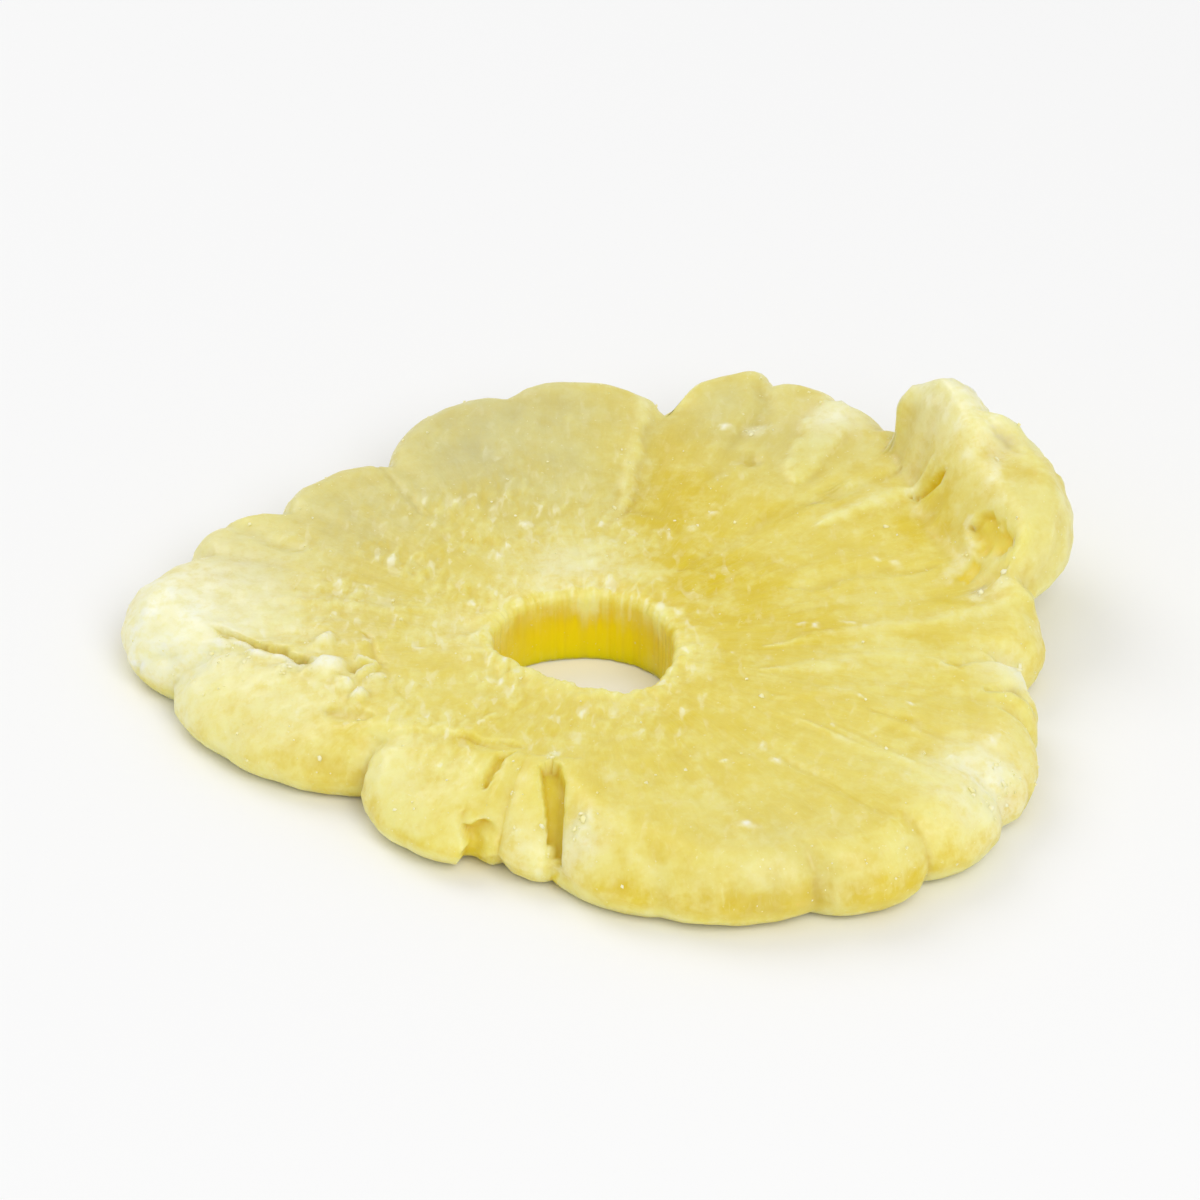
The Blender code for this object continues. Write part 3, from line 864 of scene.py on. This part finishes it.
def make_crumbs(places, normals, random, offset):
    """Crumbs that lie flat on the flesh, joined into one mesh."""
    sizes = CRUMB_SMALLEST + CRUMB_SPREAD * random.random(CRUMB_COUNT) ** 2
    verts, faces, total = [], [], 0
    for place, normal, size in zip(places, normals, sizes):
        shape, shape_faces = crumb_shape(random)
        shape = shape * (1.0, random.uniform(0.55, 0.95), random.uniform(*CRUMB_FLATNESS))
        lean = normal + 0.45 * random.normal(size=3)
        spin = Matrix.Rotation(random.uniform(0, math.tau), 3, "Z")
        turn = Vector(lean).to_track_quat("Z", "Y").to_matrix() @ spin
        verts.append(shape @ np.array(turn).T * size + place + normal * 0.02 * size)
        faces.append(shape_faces + total)
        total += len(shape)
    verts = np.concatenate(verts)
    verts[:, 2] = np.maximum(verts[:, 2], LOWEST)
    crumbs = add_piece("sugar_crumbs", verts, np.concatenate(faces), offset)
    crumbs.data.shade_smooth()
    return crumbs


def pick(points, normals, chance, count, random):
    """Places and normals on the flesh, picked by chance."""
    chosen = random.choice(chance.size, count, replace=False, p=chance.ravel() / chance.sum())
    return points.reshape(-1, 3)[chosen], normals.reshape(-1, 3)[chosen]


# ---- materials

def colour(red, green, blue):
    """Linear colour from a display colour of 0 to 255."""
    shares = [value / 255 for value in (red, green, blue)]
    return *(((share + 0.055) / 1.055) ** 2.4 if share > 0.04 else share / 12.92 for share in shares), 1.0


# PAINTED_LIGHT is the bright yellow painted where light shines through thin flesh.
DEEP, PAINTED_LIGHT = colour(223, 198, 24), colour(244, 221, 6)
# SHADE_AND_FLARE is the grey of painted shade and painted flare.
MIDDLE, SHADE_AND_FLARE = colour(232, 217, 110), colour(200, 194, 148)
PALE, SUGAR = colour(241, 236, 158), colour(246, 238, 168)
# BROWN_AND_SHADE is painted shade in the crack's deep end and brown at two groove ends.
FROST, BROWN_AND_SHADE = colour(250, 248, 222), colour(150, 116, 40)


class Nodes:
    """A material, with short ways to add and link its shader nodes."""

    def __init__(self, name):
        self.material = bpy.data.materials.new(name)
        self.material.use_nodes = True
        self.tree = self.material.node_tree

    def fill(self, node, inputs):
        """Link or set each of a node's inputs, by its name or number."""
        for key, value in inputs.items():
            if isinstance(value, bpy.types.NodeSocket):
                self.tree.links.new(value, node.inputs[key])
            else:
                node.inputs[key].default_value = value

    def add(self, kind, inputs=None, **settings):
        node = self.tree.nodes.new(kind)
        for key, value in settings.items():
            setattr(node, key, value)
        self.fill(node, inputs or {})
        return node.outputs

    def shade(self, inputs):
        """Fill the material's own shader."""
        self.fill(self.tree.nodes["Principled BSDF"], inputs)
        return self.material

    def math(self, operation, first, second, clamp=False):
        return self.add("ShaderNodeMath", {0: first, 1: second}, operation=operation, use_clamp=clamp)[0]

    def plus(self, first, second, clamp=False):
        return self.math("ADD", first, second, clamp)

    def times(self, first, second, clamp=False):
        return self.math("MULTIPLY", first, second, clamp)

    def mix(self, share, first, second):
        return self.add("ShaderNodeMix", {0: share, 6: first, 7: second}, data_type="RGBA")[2]

    def ramp(self, value, low, high, to_low=0.0, to_high=1.0):
        inputs = {"Value": value, "From Min": low, "From Max": high, "To Min": to_low, "To Max": to_high}
        return self.add("ShaderNodeMapRange", inputs, interpolation_type="SMOOTHSTEP")[0]

    def sway(self, noise, low, reach):
        """From -reach to reach, as a noise runs from low to as far above its middle."""
        return self.ramp(noise, low, 1 - low, -reach, reach)

    def place(self):
        return self.add("ShaderNodeTexCoord")["Object"]

    def noise(self, place, scale, detail, roughness=0.55, distortion=0.0):
        inputs = {"Vector": place, "Scale": scale, "Detail": detail}
        inputs |= {"Roughness": roughness, "Distortion": distortion}
        return self.add("ShaderNodeTexNoise", inputs)[0]

    def painted(self, name):
        """The four shares of a colour attribute."""
        paint = self.add("ShaderNodeAttribute", attribute_name=name)
        return *self.add("ShaderNodeSeparateColor", {0: paint["Color"]}), paint["Alpha"]


def flesh_material():
    nodes = Nodes("candied_flesh")
    place = nodes.place()
    fan = nodes.add("ShaderNodeAttribute", attribute_name="fan")["Vector"]
    deep, pale, frost, felt = nodes.painted("tint")
    shade_and_flare, painted_light, brown_and_shade, felted = nodes.painted("tone")

    # Each noise has its scale per metre, or per millimetre in the fan, then its detail and roughness.
    grain = nodes.noise(place, 2400.0, 2.0)
    speck = nodes.noise(place, 1000.0, 3.0, 0.65)
    cloud = nodes.noise(place, 190.0, 4.0, 0.6)
    fibre = nodes.noise(fan, 1.3, 4.0, 0.65)
    thread = nodes.noise(fan, 3.4, 3.0, 0.6)
    turned = {"Vector": place, "Rotation": (0.0, 0.0, STRAND_TURN), "Scale": (1.0, STRAND_STRETCH, 1.0)}
    strand = nodes.noise(nodes.add("ShaderNodeMapping", turned)[0], 1000.0, 2.0, 0.5, 0.4)
    patchy = nodes.noise(place, 420.0, 3.0, 0.6)

    # Colour: depth and pallor follow the masks, broken up by clouds, fibres and specks.
    cloudy = nodes.plus(nodes.sway(cloud, 0.30, 0.26), nodes.sway(patchy, 0.30, 0.14))
    deep = nodes.plus(nodes.math("SUBTRACT", deep, cloudy), nodes.sway(fibre, 0.35, 0.09), clamp=True)
    pale = nodes.plus(nodes.plus(pale, cloudy), nodes.sway(speck, 0.35, 0.12), clamp=True)
    # Painted highlights: short bright glints along the strands, fewer where light through the flesh is
    # painted.
    shining = nodes.plus(felt, nodes.ramp(felted, 0.0, 1.0, 0.08, 0.4))
    painted_glints = nodes.times(nodes.ramp(strand, 0.54, 0.68), shining, clamp=True)
    painted_glints = nodes.times(painted_glints, nodes.ramp(painted_light, 0.0, 0.5, 1.0, 0.0))
    flesh = MIDDLE
    layers = (
        (deep, DEEP),
        (nodes.times(pale, 0.92), PALE),
        (nodes.times(nodes.ramp(thread, 0.58, 0.72), 0.22), PALE),
        # Painted shade and painted flare.
        (shade_and_flare, SHADE_AND_FLARE),
        # Painted light shining through the flesh.
        (painted_light, PAINTED_LIGHT),
        # Painted shade: deeper strokes where the strands dip.
        (nodes.times(felted, nodes.ramp(strand, 0.50, 0.36, 0.0, 0.45)), DEEP),
        (nodes.times(felt, nodes.ramp(patchy, 0.38, 0.62, 0.3, 0.85)), PALE),
        (nodes.times(painted_glints, 0.75), FROST),
        (nodes.times(frost, nodes.ramp(speck, 0.25, 0.60, 0.45, 1.0), clamp=True), FROST),
        (nodes.ramp(grain, 0.68, 0.76, 0.0, 0.35), FROST),
        (nodes.times(brown_and_shade, nodes.ramp(speck, 0.3, 0.6, 0.6, 1.0)), BROWN_AND_SHADE),
    )
    for share, tint in layers:
        flesh = nodes.mix(share, flesh, tint)

    # Relief finer than the mesh.
    height = nodes.times(strand, nodes.ramp(felted, 0.0, 1.0, 0.1, 0.5))
    ripple = nodes.noise(place, 560.0, 2.0)
    for layer, share in ((fibre, 0.3), (ripple, 0.8), (patchy, 1.2), (thread, 0.2), (grain, 0.1)):
        height = nodes.plus(height, nodes.times(layer, share))

    return nodes.shade({
        "Base Color": flesh,
        "Roughness": nodes.ramp(speck, 0.3, 0.7, 0.50, 0.28),
        "Normal": nodes.add("ShaderNodeBump", {"Strength": 0.6, "Distance": 0.0001, "Height": height})[0],
        "Subsurface Weight": 1.0,
        "Subsurface Radius": (1.0, 0.96, 0.7),
        "Subsurface Scale": 0.003,
        "Specular IOR Level": nodes.ramp(painted_light, 0.0, 1.0, 0.45, 0.12),
    })


def sugar_material(name, roughness):
    """Pale sugar, cloudy with white."""
    nodes = Nodes(name)
    cloud = nodes.noise(nodes.place(), 900.0, 2.0)
    return nodes.shade({
        "Base Color": nodes.mix(nodes.ramp(cloud, 0.35, 0.65, 0.0, 0.7), SUGAR, FROST),
        "Roughness": nodes.ramp(cloud, 0.3, 0.7, roughness, roughness + 0.2),
    })


def floor_material():
    inputs = {"Base Color": (0.95, 0.95, 0.95, 1.0), "Roughness": 0.85, "Specular IOR Level": 0.2}
    return Nodes("pale_floor").shade(inputs)


# ---- stage, light and camera

VIEW_ELEVATION = math.radians(33)
VIEW_DISTANCE = 0.6
FRAME_FILL = 0.80  # the ring's width as a share of the frame's
SENSOR_WIDTH = 36.0
FLOOR_SIZE = 4.0
SKY_STRENGTH = 0.62
# Soft lamps that point at the ring: (name, place, size, watts).
LAMPS = (
    ("key", (0.35, -0.75, 0.80), 0.8, 5.0),
    ("back", (-0.50, 0.55, 0.75), 0.7, 2.5),
)


def make_floor():
    bpy.ops.mesh.primitive_plane_add(size=FLOOR_SIZE, location=(0, 0, 0))
    floor = bpy.context.object
    floor.name = "floor"
    floor.data.materials.append(floor_material())


def make_lamp(name, place, size, watts):
    light = bpy.data.lights.new(name, "AREA")
    light.shape = "DISK"
    light.size = size
    light.energy = watts
    lamp = add_object(name, light)
    lamp.location = place
    lamp.rotation_euler = (-Vector(place)).to_track_quat("-Z", "Y").to_euler()


def make_lights():
    world = bpy.data.worlds.new("studio")
    world.use_nodes = True
    sky = world.node_tree.nodes["Background"]
    sky.inputs["Color"].default_value = (1.0, 1.0, 1.0, 1.0)
    sky.inputs["Strength"].default_value = SKY_STRENGTH
    bpy.context.scene.world = world
    for lamp in LAMPS:
        make_lamp(*lamp)


def make_camera(low, high):
    target = Vector([(near + far) / 2 for near, far in zip(low, high)])
    camera = bpy.data.cameras.new("camera")
    camera.sensor_width = SENSOR_WIDTH
    camera.lens = camera.sensor_width * VIEW_DISTANCE * FRAME_FILL / (high[0] - low[0])
    eye = add_object("camera", camera)
    back = Vector((0, -math.cos(VIEW_ELEVATION), math.sin(VIEW_ELEVATION)))
    eye.location = target + back * VIEW_DISTANCE
    eye.rotation_euler = (-back).to_track_quat("-Z", "Y").to_euler()
    bpy.context.scene.camera = eye


# ---- the scene

def add_sugar(at, points, masks, offset):
    """The crystals and crumbs, most of them on torn and crusted flesh."""
    random = np.random.default_rng(SUGAR_SEED)
    normals = grid_normals(points)
    shown = at.above_hole * (1 - masks["cut"]) * at.radius
    dusted = shown * (0.04 + 0.3 * at.near_rim + 0.3 * at.crust + 2 * masks["torn"] + 4 * masks["lump"])
    crystals = make_crystals(*pick(points, normals, dusted, CRYSTAL_COUNT, random), random, offset)
    crystals.data.materials.append(sugar_material("sugar_crystal", 0.25))
    lumpy = shown * (0.008 + 0.03 * at.near_rim * at.crust + 0.8 * masks["torn"] + 3 * masks["lump"])
    crumbs = make_crumbs(*pick(points, normals, lumpy, CRUMB_COUNT, random), random, offset)
    crumbs.data.materials.append(sugar_material("sugar_crumb", 0.4))
    for piece in (crystals, crumbs):
        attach(piece, "root")


def main():
    low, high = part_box("ring")
    offset = cad_middle() - np.array([(low[0] + high[0]) / 2, (low[1] + high[1]) / 2, low[2]]) / MM
    at = Surface()
    points, masks = shape_flesh(at)
    flesh = make_flesh(at, points, masks, offset)
    flesh.data.materials.append(flesh_material())
    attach(flesh, "root")
    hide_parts("ring")
    add_sugar(at, points, masks, offset)

    make_floor()
    make_lights()
    make_camera(low, high)
    bpy.context.scene.view_settings.view_transform = "Standard"


main()
